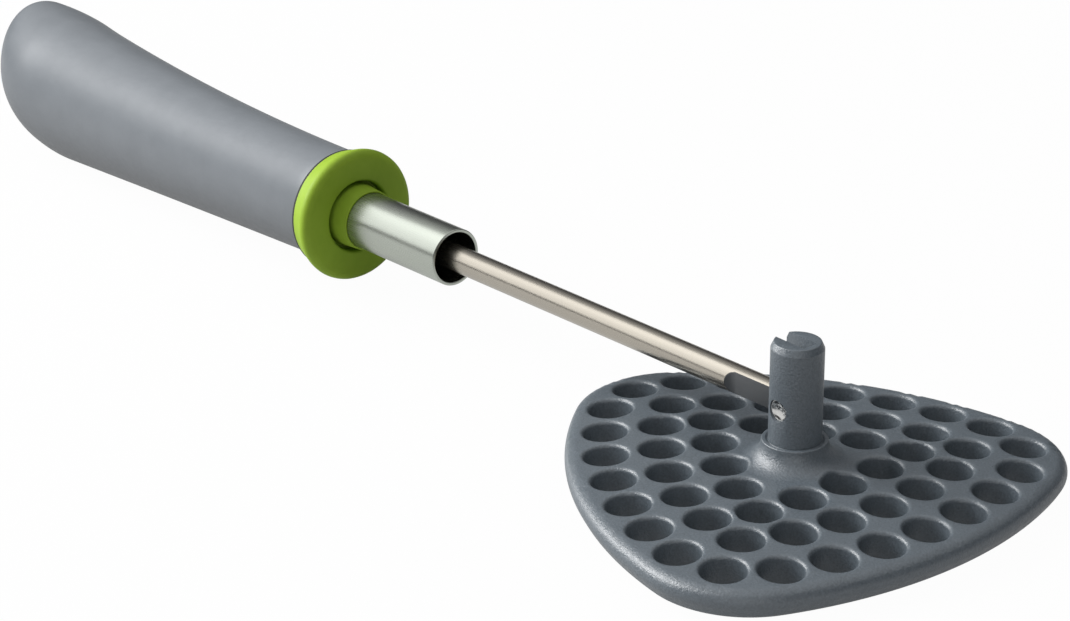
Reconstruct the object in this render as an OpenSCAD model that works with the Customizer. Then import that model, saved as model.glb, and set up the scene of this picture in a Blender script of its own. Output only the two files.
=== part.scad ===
// Folding potato masher: a three-cornered perforated head, a thin steel shaft hinged in a slotted post,
// and a short steel sleeve on a sliding collar that locks the head when it is pushed over the post.
// Millimetres, +Z up. The origin is on the surface the head stands on, under the axis of its post.
// The handle lies along -X, folded flat, with its butt resting on the same surface.

/* [Mashing plate] */
// Height of the plate's crown above the surface it stands on
plate_h = 10.7; // [9.5:0.1:12]
// Distance from the post's axis to the rim at each corner
corner_reach = 60.5; // [58:0.1:64]
// Distance from the post's axis to the rim at the middle of each side
side_reach = 48.6; // [47:0.1:51]
// Radius of the rim at the corners, seen from above
corner_r = 24; // [21:0.1:27]
// Radius of the crowned top, measured square to a side
crown_r = 465; // [420:5:560]
// Rounding of the rim's upper edge
rim_top_r = 2; // [1.6:0.1:2.4]
// Rounding of the rim's lower edge
rim_foot_r = 2.7; // [2.2:0.1:3]
// Distance that the rim's foot lies inside its widest line
rim_taper = 0.8; // [0.4:0.1:1]
// Height that the underside rises by at the rim
rim_lift = 2.9; // [2.4:0.1:3.1]
// Width of the band along the rim where the underside rises
lift_band = 13; // [10:0.5:16]

/* [Food holes] */
// Diameter of each food hole
hole_d = 9.8; // [9:0.1:9.9]
// Rounding of each hole's upper edge
hole_edge_r = 0.6; // [0.3:0.1:0.6]
// Distance from the rim to the centres of the outer ring of holes
outer_inset = 8.9; // [8.3:0.1:9.5]
// Distance between one ring of holes and the next, at the middle of a side
ring_pitch = 12.2; // [11.6:0.1:12.4]
// Extra distance between one ring and the next at a corner
corner_pitch_extra = 0.5; // [0:0.1:1]

/* [Post] */
// Diameter of the post that the shaft is hinged in
post_d = 11.7; // [11:0.1:11.7]
// Height of the post's top above the plate's crown
post_h = 27.6; // [24:0.1:30]
// Height of the chamfer round the post's top
post_chamfer_h = 1.5; // [0.6:0.1:2]
// Width of the chamfer round the post's top
post_chamfer_w = 0.7; // [0.3:0.1:1.2]
// Diameter of the shoulder that the sleeve seats on
shoulder_d = 14.6; // [14:0.1:16]
// Height of the shoulder above the plate's crown
shoulder_h = 4.8; // [3.5:0.1:5.5]
// Width and depth of the relief groove round the post's foot
relief_w = 0.45; // [0.3:0.05:0.6]
// Height of the hinge axis above the plate's crown
hinge_h = 12.8; // [12:0.1:14]

/* [Hinge] */
// Thickness of the shaft's flattened tongue
tongue_t = 3.8; // [3.2:0.1:4.2]
// Length of the tongue from the hinge axis to where the shaft grows round again
tongue_len = 16.5; // [16:0.1:20]
// Radius of the cutter that forms the end of the tongue's flats
tongue_cutter_r = 3.6; // [2.5:0.1:5]
// Clearance on each side of the tongue in the post's slot
slot_clear = 0.1; // [0.05:0.05:0.2]
// Clearance round the tongue's end in the post's slot
slot_end_clear = 0.5; // [0.4:0.1:0.8]
// Diameter of the rivet's shank
rivet_d = 3.2; // [2.6:0.1:3.6]
// Diameter of the rivet's heads
rivet_head_d = 4.96; // [4.4:0.02:5.4]
// Thickness of each rivet head
rivet_head_t = 1.6; // [1.2:0.1:1.8]
// Distance from the middle of the post to the outer face of each rivet head
rivet_reach = 5.1; // [4.9:0.05:5.2]
// Depth of the dish in each rivet head
rivet_dish = 0.9; // [0.4:0.1:1.1]
// Radial clearance of the rivet in the post
rivet_fit = 0.02; // [0.01:0.01:0.05]
// Radial clearance of the tongue on the rivet
hinge_fit = 0.05; // [0.03:0.01:0.1]

/* [Shaft and sleeve] */
// Diameter of the steel shaft
shaft_d = 6.4; // [6:0.1:6.6]
// Distance from the hinge axis to the sleeve's mouth, with the sleeve drawn back
mouth_s = 116.3; // [114:0.1:118]
// Outside diameter of the sleeve
sleeve_d = 14; // [13.9:0.05:14.2]
// Wall of the sleeve
sleeve_wall = 0.8; // [0.6:0.05:0.85]
// Rounding of the lip at the sleeve's mouth
lip_r = 0.25; // [0.1:0.05:0.3]
// Length of the bush that guides the sleeve on the shaft
bush_len = 17; // [14:0.5:17]
// Radial clearance of the bush in the sleeve
bush_fit = 0.02; // [0.01:0.01:0.05]
// Radial clearance of the bush on the shaft
slide_fit = 0.06; // [0.03:0.01:0.1]
// Thickness of the rubber drag ring
ring_t = 1.8; // [1.4:0.1:2]

/* [Collar] */
// Distance from the hinge axis to the front of the collar's neck, with the sleeve drawn back
neck_s = 149.6; // [148:0.1:151]
// Length of the neck in front of the collar's face
neck_len = 4.8; // [3.5:0.1:6]
// Thickness of the neck's lip
neck_lip = 0.5; // [0.4:0.05:0.7]
// Growth of the neck's radius from its lip to the floor of the groove
neck_taper = 0.5; // [0.2:0.1:0.7]
// Length of the collar from its face to its back
collar_len = 7; // [6:0.1:9]
// Largest diameter of the collar
collar_d = 34.2; // [33:0.1:35.5]
// Diameter of the collar's back
collar_back_d = 29.6; // [28.5:0.1:31]
// Rounding of the collar's front edge
collar_edge_r = 1.3; // [0.6:0.1:2]
// Diameter of the groove round the neck
groove_d = 17.9; // [17.6:0.1:20]
// Depth of the groove round the neck
groove_depth = 2.4; // [1:0.1:3]
// Thickness of the collar's rear wall
collar_wall = 2; // [1.5:0.1:3]
// Clearance of the collar's bore round the shaft
collar_clear = 0.3; // [0.2:0.05:0.5]

/* [Handle] */
// Gap between the collar's back and the handle
handle_gap = 0.3; // [0.2:0.05:0.6]
// Distance from the shaft's axis to the handle's top, at its front, middle and butt
top_front = 14.3; // [13.8:0.1:15]
// Distance from the shaft's axis to the handle's top, halfway
top_middle = 15.8; // [15:0.1:17]
// Distance from the shaft's axis to the handle's top, at the butt
top_butt = 21.6; // [20:0.1:23]
// Distance from the shaft's axis to the handle's belly, at its front
belly_front = 13.15; // [12.8:0.05:14]
// Growth of the belly's depth for each millimetre of the handle
belly_taper = 0.031; // [0.02:0.001:0.04]
// Length over which the handle's profile is set out
profile_len = 126; // [120:1:132]
// Length of the belly, from the handle's front to the start of the sweep
belly_len = 108.7; // [105:0.1:112]
// Radius of the sweep that rises from the belly to the butt's tip
sweep_r = 29.2; // [27:0.1:31]
// Length of the butt's rounding at its top
butt_top_len = 5.5; // [4:0.1:8]
// Length of the butt's rounding at its sides
butt_side_len = 20.2; // [16:0.1:24]
// Width of the handle as a share of its height
width_ratio = 0.98; // [0.9:0.01:1.05]
// Rounding of the handle's front edge
front_edge_r = 0.8; // [0.4:0.1:1.2]
// Radius of the hard core at the handle's front
core_front_r = 10.5; // [9.5:0.1:11]
// Radius of the hard core at its far end
core_end_r = 12.5; // [11:0.1:13.5]
// Length of the hard core
core_len = 100; // [92:1:104]
// Number of locking grooves round the core
core_grooves = 5; // [3:1:7]
// Width of each locking groove
core_groove_w = 4; // [3:0.5:6]
// Depth of each locking groove
core_groove_depth = 1.2; // [0.8:0.1:1.6]
// Length of shaft held in the core
shaft_grip = 70; // [60:1:80]
// Diameter of the pin that anchors the shaft
anchor_d = 3; // [2.5:0.1:3.4]
// Length of the pin that anchors the shaft
anchor_len = 18; // [14:0.5:19]
// Distance from the handle's front to the pin that anchors the shaft
anchor_inset = 44; // [36:1:52]
// Radial clearance of the pin and the shaft in the core
core_fit = 0.02; // [0.01:0.01:0.05]

/* [Hidden] */
$fn = 96;
CUT = 1;                 // overlap of a cutter past the face it opens
NYLON = "#4b5258";
STEEL = "#c9cac8";
LIME = "#94b83a";
GRIP = "#7d8285";
WHITE_PLASTIC = "#e4e4df";
RUBBER = "#26282a";

hole_r = hole_d / 2;
post_r = post_d / 2;
shaft_r = shaft_d / 2;
sleeve_r = sleeve_d / 2;
sleeve_bore_r = sleeve_r - sleeve_wall;
rivet_r = rivet_d / 2;
rivet_head_r = rivet_head_d / 2;
collar_r = collar_d / 2;
collar_back_r = collar_back_d / 2;
neck_r = sleeve_r + neck_lip;
groove_r = groove_d / 2;
anchor_r = anchor_d / 2;
hinge_z = plate_h + hinge_h;
shoulder_z = plate_h + shoulder_h;
post_top = plate_h + post_h;

// Stations along the shaft, from the hinge axis
face_s = neck_s + neck_len;
collar_back_s = face_s + collar_len;
sleeve_end_s = collar_back_s - collar_wall;
bush_s = sleeve_end_s - bush_len;
ring_s = bush_s + bush_len / 2;
front_s = collar_back_s + handle_gap;
sweep_s = front_s + belly_len;
shaft_end_s = front_s + shaft_grip;
anchor_s = front_s + anchor_inset;
core_end_s = front_s + core_len;

// Centre of the butt's sweep: along the shaft, and above its axis while the handle lies folded
belly_norm = [belly_taper, 1] / norm([belly_taper, 1]);
sweep_c = [sweep_s, -(belly_front + belly_taper * belly_len)] + sweep_r * belly_norm;
butt_s = sweep_c[0] + sweep_r;

// Slope of the folded shaft, at which the sweep just touches the surface that the head stands on
fold_tilt = asin((hinge_z - sweep_r) / norm(sweep_c)) + atan2(sweep_c[1], sweep_c[0]);

// A three-cornered outline with round corners and bowed sides has a corner arc about [corner_x, 0]
// and a side arc of radius side_r about a point side_x behind the centre
function corner_x(reach, r) = reach - r;
function side_x(reach, side, r) =
    let (cx = corner_x(reach, r), m = side - r) (cx * cx - m * m) / (2 * m - cx);
function side_centre(reach, side, r) = -side_x(reach, side, r) * [cos(60), sin(60)];
function corner_angle(reach, side, r) =
    let (v = [corner_x(reach, r), 0] - side_centre(reach, side, r)) atan2(v[1], v[0]);

// Point at a share t of the way from a corner (angle 0) to the middle of a side (angle 60)
function outline_point(reach, side, r, t) =
    let (turn = corner_angle(reach, side, r),
         side_r = side + side_x(reach, side, r),
         corner_part = r * turn,
         way = t * (corner_part + side_r * (60 - turn)),
         on_corner = way <= corner_part,
         a = on_corner ? way / r : turn + (way - corner_part) / side_r)
    on_corner ? [corner_x(reach, r), 0] + r * [cos(a), sin(a)]
              : side_centre(reach, side, r) + side_r * [cos(a), sin(a)];

rim_turn = corner_angle(corner_reach, side_reach, corner_r);
rim_corner = [corner_x(corner_reach, corner_r), 0];
rim_side = side_centre(corner_reach, side_reach, corner_r);
rim_side_r = side_reach + side_x(corner_reach, side_reach, corner_r);
on_axis = 0.01;          // a point this near to a corner's axis counts as on it

// Distance inside the rim, and the outward direction, of a point between a corner and a side's middle
function rim_place(p) =
    let (c = p - rim_corner, s = p - rim_side, a = atan2(c[1], c[0]))
    (c[0] > 0 && a < rim_turn) ? [corner_r - norm(c), a]
        : [rim_side_r - norm(s), p[1] < on_axis ? 0 : atan2(s[1], s[0])];

function crown_z(inset) = plate_h - crown_r + sqrt(pow(crown_r, 2) - pow(side_reach - inset, 2));

// Rim of the plate as [inset, height], from the flat underside round to the crown
lift_r = (lift_band * lift_band + rim_lift * rim_lift) / (2 * rim_lift);
foot_turn = asin((lift_band - rim_taper - rim_foot_r) / (lift_r - rim_foot_r));
foot_z = lift_r - (lift_r - rim_foot_r) * cos(foot_turn);
top_turn = asin((side_reach - rim_top_r) / (crown_r - rim_top_r));
top_z = plate_h - crown_r + (crown_r - rim_top_r) * cos(top_turn);
side_run = [top_z - foot_z, rim_taper + rim_foot_r - rim_top_r];
side_lean = asin((rim_top_r - rim_foot_r) / norm(side_run)) + atan2(side_run[1], side_run[0]);
crown_row = 9;           // inset of the row that the crown starts from
rim_profile = concat(
    [for (n = [0:1]) let (a = foot_turn * n / 2) [lift_band - lift_r * sin(a), lift_r * (1 - cos(a))]],
    [for (n = [0:3]) let (a = foot_turn + (90 - side_lean - foot_turn) * n / 3)
        [rim_taper + rim_foot_r * (1 - sin(a)), foot_z - rim_foot_r * cos(a)]],
    [for (n = [5:-1:0]) let (a = top_turn + (90 + side_lean - top_turn) * n / 5)
        [rim_top_r * (1 - sin(a)), top_z + rim_top_r * cos(a)]],
    [[crown_row, crown_z(crown_row)]]);

// Columns of the rim as [centre, radius, direction], once round the plate
rim_columns = [for (k = [0:2], n = [0:21])
    let (on_corner = n < 10,
         a = on_corner ? rim_turn * (n / 5 - 1) : rim_turn + (120 - 2 * rim_turn) * (n - 10) / 12)
    [on_corner ? rim_corner : rim_side, on_corner ? corner_r : rim_side_r, a, 180 + 120 * k]];

function turned(p, a) = [p[0] * cos(a) - p[1] * sin(a), p[0] * sin(a) + p[1] * cos(a)];
function third_point(col, inset) = col[0] + (col[1] - inset) * [cos(col[2]), sin(col[2])];
function half_folded(p, turn) = p[1] >= 0 && atan2(p[1], p[0]) <= 60 ? p
    : p[1] < 0 ? [p[0], -p[1]] : turned([turned(p, -60)[0], -turned(p, -60)[1]], 60);

// The crowned plate without its holes
module plate() {
    cols = len(rim_columns);
    rows = len(rim_profile);
    inner = [0.67, 0.34];                // shares of the innermost rim row that carry the crown inwards
    rim_points = [for (row = rim_profile, col = rim_columns)
        let (p = turned(third_point(col, row[0]), col[3])) [p[0], p[1], row[1]]];
    crown_points = [for (t = inner, col = rim_columns)
        let (q = t * third_point(col, rim_profile[rows - 1][0]), p = turned(q, col[3]))
        [p[0], p[1], crown_z(rim_place(half_folded(q))[0])]];
    points = concat(rim_points, crown_points, [[0, 0, plate_h]]);
    all_rows = rows + len(inner);
    bands = [for (r = [0:all_rows - 2], i = [0:cols - 1], half = [0, 1])
        let (j = (i + 1) % cols, a = r * cols, b = a + cols)
        half == 0 ? [a + i, b + i, b + j] : [a + i, b + j, a + j]];
    last = (all_rows - 1) * cols;
    cap = [for (i = [0:cols - 1]) [last + i, last + cols, last + (i + 1) % cols]];
    underside = [for (i = [0:cols - 1]) i];
    polyhedron(points, concat([underside], bands, cap), convexity = 4);
}

// Cutter of one food hole: z = 0 is the plate's top, where the edge is rounded off in two steps
module food_hole_cutter() {
    e = hole_edge_r;
    over = 0.3;
    rotate_extrude($fn = 48)
        polygon([[0, -2 * plate_h], [hole_r, -2 * plate_h], [hole_r, -e], [hole_r + 0.3 * e, -0.3 * e],
                 [hole_r + e + over, over], [0, over]]);
}

module food_hole(p) {
    place = rim_place(p);
    from_crown = side_reach - place[0];
    lean = asin(from_crown / crown_r);
    seam_turn = 17;                      // keeps the cutter's seam off the plate's own edges
    translate([p[0], p[1], plate_h - crown_r * (1 - cos(lean))])
        rotate([0, 0, place[1]]) rotate([0, lean, 0]) rotate([0, 0, seam_turn]) food_hole_cutter();
}

// One ring of holes: equal steps along a three-cornered line, "steps" of them from corner to side
module hole_ring(reach, side, r, steps) {
    for (k = [0:2], j = [0:steps])
        rotate(180 + 120 * k) {
            food_hole(outline_point(reach, side, r, j / steps));
            if (j > 0 && j < steps) mirror([0, 1, 0]) food_hole(outline_point(reach, side, r, j / steps));
        }
}

module food_holes() {
    corner_pitch = ring_pitch + corner_pitch_extra;
    ring_corner_r = [16.8, 4.8, 1];      // corner radius of each ring's line
    ring_steps = [4, 3, 2];
    for (n = [0:2])
        hole_ring(corner_reach - outer_inset - n * corner_pitch,
                  side_reach - outer_inset - n * ring_pitch, ring_corner_r[n], ring_steps[n]);
}

// Post on its shoulder, with a hollow cove below the shoulder
module post() {
    cove_r = shoulder_h + 0.3;
    rotate_extrude() {
        difference() {
            translate([0, plate_h / 2]) square([shoulder_d / 2 + cove_r, shoulder_z - plate_h / 2]);
            translate([shoulder_d / 2 + cove_r, shoulder_z]) circle(cove_r);
            translate([post_r, shoulder_z - relief_w]) square([relief_w, relief_w + CUT]);
        }
        polygon([[0, plate_h / 2], [post_r, plate_h / 2], [post_r, post_top - post_chamfer_h],
                 [post_r - post_chamfer_w, post_top], [0, post_top]]);
    }
}

// Slot open to the top and to the folded side, and the stepped bore of the rivet
module hinge_cuts() {
    reach = shaft_r + slot_end_clear;
    width = tongue_t + 2 * slot_clear;
    translate([-post_d, -width / 2, hinge_z - reach - slot_end_clear])
        cube([post_d + reach, width, post_top]);
    translate([0, 0, hinge_z]) rotate([90, 0, 0]) {
        cylinder(r = rivet_r + rivet_fit, h = 2 * post_d, center = true);
        for (side = [0, 1]) mirror([0, 0, side])
            translate([0, 0, rivet_reach - rivet_head_t]) cylinder(r = rivet_head_r + rivet_fit, h = post_d);
    }
}

module mashing_head() {
    color(NYLON) difference() {
        union() {
            plate();
            post();
        }
        food_holes();
        hinge_cuts();
    }
}

module pivot_rivet() {
    color(STEEL) translate([0, 0, hinge_z]) rotate([90, 0, 0]) rotate_extrude() {
        difference() {
            translate([0, -rivet_reach]) square([rivet_head_r, 2 * rivet_reach]);
            translate([rivet_r, rivet_head_t - rivet_reach])
                square([rivet_head_r, 2 * (rivet_reach - rivet_head_t)]);
            for (side = [-1, 1]) polygon([[-CUT, side * (rivet_reach - rivet_dish)],
                                          [0, side * (rivet_reach - rivet_dish)],
                                          [rivet_head_r - 0.35, side * rivet_reach],
                                          [rivet_head_r - 0.35, side * (rivet_reach + CUT)],
                                          [-CUT, side * (rivet_reach + CUT)]]);
        }
    }
}

// Puts a solid on the folded shaft: +Z runs from the hinge to the butt, and +X is the handle's top
module on_shaft() {
    translate([0, 0, hinge_z]) rotate([0, -90 - fold_tilt, 0]) children();
}

module shaft() {
    flat = tongue_t / 2;
    color(STEEL) on_shaft() difference() {
        union() {
            cylinder(r = shaft_r, h = shaft_end_s);
            rotate([90, 0, 0]) cylinder(r = shaft_r, h = tongue_t, center = true);
        }
        for (side = [0, 1]) mirror([0, side, 0]) {
            translate([-shaft_d, flat, -shaft_d]) cube([2 * shaft_d, shaft_d, shaft_d + tongue_len]);
            translate([0, flat + tongue_cutter_r, tongue_len]) rotate([0, 90, 0])
                cylinder(r = tongue_cutter_r, h = 2 * shaft_d, center = true);
        }
        rotate([90, 0, 0]) cylinder(r = rivet_r + hinge_fit, h = 2 * shaft_d, center = true);
        translate([0, 0, anchor_s]) rotate([90, 0, 0])
            cylinder(r = anchor_r + core_fit, h = 2 * shaft_d, center = true);
    }
}

module lock_sleeve() {
    color(STEEL) on_shaft() rotate_extrude() {
        translate([sleeve_bore_r, mouth_s + lip_r]) square([sleeve_wall, sleeve_end_s - mouth_s - lip_r]);
        translate([sleeve_bore_r + lip_r, mouth_s]) square([sleeve_wall - 2 * lip_r, sleeve_wall]);
        for (x = [sleeve_bore_r + lip_r, sleeve_r - lip_r]) translate([x, mouth_s + lip_r]) circle(lip_r);
    }
}

module slide_collar() {
    edge_x = collar_r - collar_edge_r;
    floor_s = face_s + groove_depth;
    lip = neck_lip / 2;
    color(LIME) on_shaft() rotate_extrude() difference() {
        union() {
            polygon([[0, face_s], [edge_x, face_s], [edge_x, face_s + collar_edge_r],
                     [collar_r, face_s + collar_edge_r], [collar_back_r, collar_back_s], [0, collar_back_s]]);
            translate([edge_x, face_s + collar_edge_r]) circle(collar_edge_r);
            polygon([[0, neck_s + lip], [neck_r, neck_s + lip], [neck_r + neck_taper, floor_s],
                     [0, floor_s]]);
            translate([neck_r - lip, neck_s + lip]) circle(lip);
        }
        polygon([[groove_r, face_s - CUT], [groove_r, floor_s], [neck_r + neck_taper, floor_s],
                 [neck_r, neck_s + lip], [groove_r, neck_s - CUT]]);
        translate([-CUT, neck_s - CUT]) square([sleeve_r + CUT, sleeve_end_s - neck_s + CUT]);
        translate([-CUT, 0]) square([shaft_r + collar_clear + CUT, 2 * collar_back_s]);
    }
}

module guide_bush() {
    bore_r = shaft_r + slide_fit;
    groove_w = ring_t + 0.3;
    color(WHITE_PLASTIC) on_shaft() rotate_extrude() difference() {
        translate([bore_r, bush_s]) square([sleeve_bore_r - bush_fit - bore_r, bush_len]);
        translate([0, ring_s - groove_w / 2]) square([bore_r + ring_t, groove_w]);
    }
}

module drag_ring() {
    color(RUBBER) on_shaft() rotate_extrude()
        translate([shaft_r + slide_fit / 2 + ring_t / 2, ring_s]) circle(ring_t / 2);
}

// Outside of the hard core, shared by the core and by the skin moulded over it
module core_solid() {
    pitch = core_len / (core_grooves + 1);
    rotate_extrude() difference() {
        polygon([[0, front_s], [core_front_r, front_s], [core_end_r, core_end_s], [0, core_end_s]]);
        for (n = [1:core_grooves]) {
            s = front_s + n * pitch;
            r = core_front_r + (core_end_r - core_front_r) * n / (core_grooves + 1);
            translate([r - core_groove_depth, s - core_groove_w / 2])
                square([2 * core_groove_depth, core_groove_w]);
        }
    }
}

module handle_core() {
    color(WHITE_PLASTIC) on_shaft() difference() {
        core_solid();
        translate([0, 0, front_s - CUT]) cylinder(r = shaft_r + core_fit, h = shaft_grip + CUT);
        translate([0, 0, anchor_s]) rotate([90, 0, 0])
            cylinder(r = anchor_r + core_fit, h = anchor_len, center = true);
    }
}

module anchor_pin() {
    color(STEEL) on_shaft() translate([0, 0, anchor_s]) rotate([90, 0, 0])
        cylinder(r = anchor_r, h = anchor_len, center = true);
}

// Height of the handle's top line, a smooth curve through its front, middle and butt heights
function top_line(s) =
    let (u = (s - front_s) / profile_len)
    top_front * (1 - u) * (1 - 2 * u) + 4 * top_middle * u * (1 - u) + top_butt * u * (2 * u - 1);
function belly_line(s) = -(belly_front + belly_taper * (s - front_s));

// Share that is left of a height or width, "len" before the tip and onwards, as a quarter ellipse
function fade(s, len) = let (x = max(0, (s - butt_s + len) / len)) sqrt(max(0, 1 - x * x));

// Section of the handle at a station: centre height, half height and half width
function grip_section(s) =
    let (sweep = sqrt(max(0, sweep_r * sweep_r - pow(s - sweep_c[0], 2))),
         low = s < sweep_s ? belly_line(s) : sweep_c[1] - sweep,
         high = sweep_c[1] + (top_line(s) - sweep_c[1]) * fade(s, butt_top_len),
         half = width_ratio * (top_line(s) - belly_line(s)) / 2 * fade(s, butt_side_len),
         d = front_edge_r - min(front_edge_r, s - front_s),
         inset = front_edge_r - sqrt(front_edge_r * front_edge_r - d * d))
    [(high + low) / 2, (high - low) / 2 - inset, half - inset];

grip_sides = 48;
grip_stations = concat(
    [for (a = [0:30:90]) front_s + front_edge_r * (1 - cos(a))],
    [for (n = [1:9]) front_s + front_edge_r + (sweep_s - front_s - front_edge_r) * n / 9],
    [for (a = [7.5:7.5:82.5]) sweep_s + (butt_s - sweep_s) * sin(a)],
    [for (a = [86, 88.5]) sweep_s + (butt_s - sweep_s) * sin(a)]);

module grip_form() {
    rings = len(grip_stations);
    points = [for (s = grip_stations) let (g = grip_section(s)) for (i = [0:grip_sides - 1])
        let (a = 360 * i / grip_sides) [g[0] + g[1] * cos(a), g[2] * sin(a), s]];
    sides = [for (k = [0:rings - 2], i = [0:grip_sides - 1])
        let (j = (i + 1) % grip_sides, a = k * grip_sides, b = a + grip_sides) [a + i, b + i, b + j, a + j]];
    front = [for (i = [0:grip_sides - 1]) i];
    tip = [for (i = [grip_sides - 1:-1:0]) (rings - 1) * grip_sides + i];
    polyhedron(points, concat([front], sides, [tip]), convexity = 4);
}

module grip_skin() {
    color(GRIP) on_shaft() difference() {
        grip_form();
        core_solid();
        translate([0, 0, front_s - CUT]) cylinder(r = core_front_r / 2, h = 2 * CUT);
    }
}

mashing_head();
pivot_rivet();
shaft();
lock_sleeve();
slide_collar();
guide_bush();
drag_ring();
handle_core();
anchor_pin();
grip_skin();
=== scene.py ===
"""Looks of the folding potato masher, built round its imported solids.

Lengths are in millimetres until a mesh is made, and the frame is the solids' own: the origin is
under the post on the surface that the head stands on, +Z is up and the handle lies along -X.
"""

import math

import bmesh
import bpy
import numpy as np
from mathutils import Matrix, Vector
from mathutils.geometry import delaunay_2d_cdt


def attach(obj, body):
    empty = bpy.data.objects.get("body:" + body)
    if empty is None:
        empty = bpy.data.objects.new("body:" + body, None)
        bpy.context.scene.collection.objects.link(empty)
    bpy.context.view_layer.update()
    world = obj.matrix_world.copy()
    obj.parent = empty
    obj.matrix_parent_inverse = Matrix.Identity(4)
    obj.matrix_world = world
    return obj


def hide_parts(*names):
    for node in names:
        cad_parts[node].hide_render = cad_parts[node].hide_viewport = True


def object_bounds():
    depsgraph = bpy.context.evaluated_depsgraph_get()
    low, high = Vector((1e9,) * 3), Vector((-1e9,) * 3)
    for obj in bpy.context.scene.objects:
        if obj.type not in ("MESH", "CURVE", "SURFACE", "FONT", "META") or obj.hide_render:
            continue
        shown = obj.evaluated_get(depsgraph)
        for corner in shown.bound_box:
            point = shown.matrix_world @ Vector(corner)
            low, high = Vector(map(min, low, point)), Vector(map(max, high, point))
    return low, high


MM = 0.001
SAME_POINT = 0.001            # points of a mesh that are nearer than this are joined

# Mashing plate
PLATE_H = 10.7
CORNER_REACH = 60.5
SIDE_REACH = 48.6
CORNER_R = 24.0
CROWN_R = 465.0               # radius of the plate's top, square to each side
RIM_TOP_R = 2.8
RIM_FOOT_R = 2.2
RIM_TAPER = 0.8               # the side leans in by this towards the foot
RIM_LIFT = 2.9                # the underside rises by this at the rim, over the width of the band
LIFT_BAND = 13.0

# Food holes
HOLE_R = 4.9
HOLE_EDGE_R = 0.95
HOLE_LAND = 0.07              # flat left between the rounded edges of two near holes
HOLE_FOOT_R = 0.25
OUTER_INSET = 8.9             # from the rim to the middles of the outer ring of holes
RING_PITCH = 12.2
CORNER_PITCH_EXTRA = 0.5      # what the rings lie further apart at the corners
RING_CORNER_R = (16.8, 4.8, 1.0)
RING_STEPS = (4, 3, 2)        # steps from a corner's hole to the one amid a side, ring by ring
HOLE_NEAR = 1.0               # holes whose edges are nearer than this share the land between them
FACING = 0.5                  # cosine of the widest angle at which a hole's neighbour limits its edge
SETTLE_STEPS = 4              # steps in which a hole's edge finds the height of the face

# Post and hinge
POST_R = 5.85
POST_H = 27.6
POST_ROOT = 1.0               # the post starts this deep in the plate
POST_CHAMFER_H = 1.5
POST_CHAMFER_W = 0.7
CHAMFER_FOOT_R = 0.6
CHAMFER_TOP_R = 0.3
POST_EDGE_W = 0.22
POST_EDGE_DEG = 50            # the post's edges that are sharper than this are bevelled
SHOULDER_R = 7.3
SHOULDER_H = 4.8
SHOULDER_LIP_R = 0.3
SHOULDER_LIP_H = 0.35
SHOULDER_ROOT_IN = 0.2        # the shoulder's foot leans in by this, out of sight in the cove
COVE_R = 4.98
RELIEF_W = 0.6
RELIEF_DEPTH = 0.35
RELIEF_EDGE_R = 0.2
RELIEF_FLOOR = 0.1            # width and height of the slope between the relief's floor and the post
RELIEF_FLOOR_R = 0.08
RELIEF_FOOT_R = 0.04
HINGE_H = 12.8                # the hinge's axis over the crown
TONGUE_T = 3.8
TONGUE_LEN = 16.5
TONGUE_CUTTER_R = 3.6         # radius of the hollows in which the tongue's flats run out
TONGUE_SQUARE = 1.6           # how square the sections of the tongue's round end are
TONGUE_TIP = 0.02             # half width of the first of those sections
TONGUE_START = 0.05           # where the tongue's straight part starts
ROUND_START = 0.3             # how far past the flats the round bar starts
FLAT_MARGIN = 0.03            # faces this near to a flat belong to it
SLOT_CLEAR = 0.1
SLOT_END_CLEAR = 0.5
SLOT_OVERCUT = 5.0            # the cutter of the slot stands out of the post's top by this
RIVET_R = 1.6
RIVET_HEAD_R = 2.48
RIVET_HEAD_T = 1.6
RIVET_REACH = 5.1             # from the middle to the rim of a head
RIVET_DISH = 0.9
RIVET_DISH_R = 0.08
RIVET_RIM_W = 0.35
RIVET_RIM_R = 0.1
RIVET_FIT = 0.02

# Shaft, sleeve and collar. A name that ends in _S is a distance along the shaft from the hinge's axis.
SHAFT_R = 3.2
MOUTH_S = 116.3
SLEEVE_R = 7.0
SLEEVE_WALL = 0.8
LIP_R = 0.25
BORE_LIP_R = 0.225
NECK_S = 149.6
NECK_LEN = 4.8
NECK_LIP = 0.5
NECK_LIP_R = 0.225
NECK_TAPER = 0.5
COLLAR_LEN = 7.0
COLLAR_CORNER_R = 17.35
COLLAR_FACE_OUT = 0.5
COLLAR_EDGE_R = 2.0
# The land round the collar's back edge carries a painted shade: a near-black lime that stands in for the
# shadow in the gap between collar and handle.
COLLAR_LAND_R = 15.0
COLLAR_LAND_W = 0.7
COLLAR_LAND_EDGE_R = 0.15
LAND_MARGIN = 0.3             # faces of the collar's back this near to the land belong to it
GROOVE_R = 8.95
GROOVE_EDGE_R = 0.7
GROOVE_FLOOR_R = 0.25
GROOVE_DEPTH = 2.4
COLLAR_WALL = 2.0
COLLAR_CLEAR = 0.3

# Handle
HANDLE_GAP = 0.3
TOP_FRONT, TOP_MIDDLE, TOP_BUTT = 14.3, 15.8, 21.6
BELLY_FRONT = 13.15
BELLY_TAPER = 0.031
PROFILE_LEN = 126.0
BELLY_LEN = 108.7
SWEEP_R = 29.2                # radius in which the belly sweeps up to the butt's tip
BUTT_TOP_LEN = 5.5            # length over which the top falls to the tip
BUTT_SIDE_LEN = 20.2          # length over which the sides close in on it
WIDTH_RATIO = 0.98            # width of the handle's section to its height
FRONT_EDGE_R = 0.8
CORE_FRONT_R = 10.5
SOCKET_DEPTH = 6.0            # how deep the grip is shown round its core
TIP_GAP = 0.0001              # how near to the butt's tip its height is taken
SHAFT_GRIP = 70.0             # length of the shaft inside the handle

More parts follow.
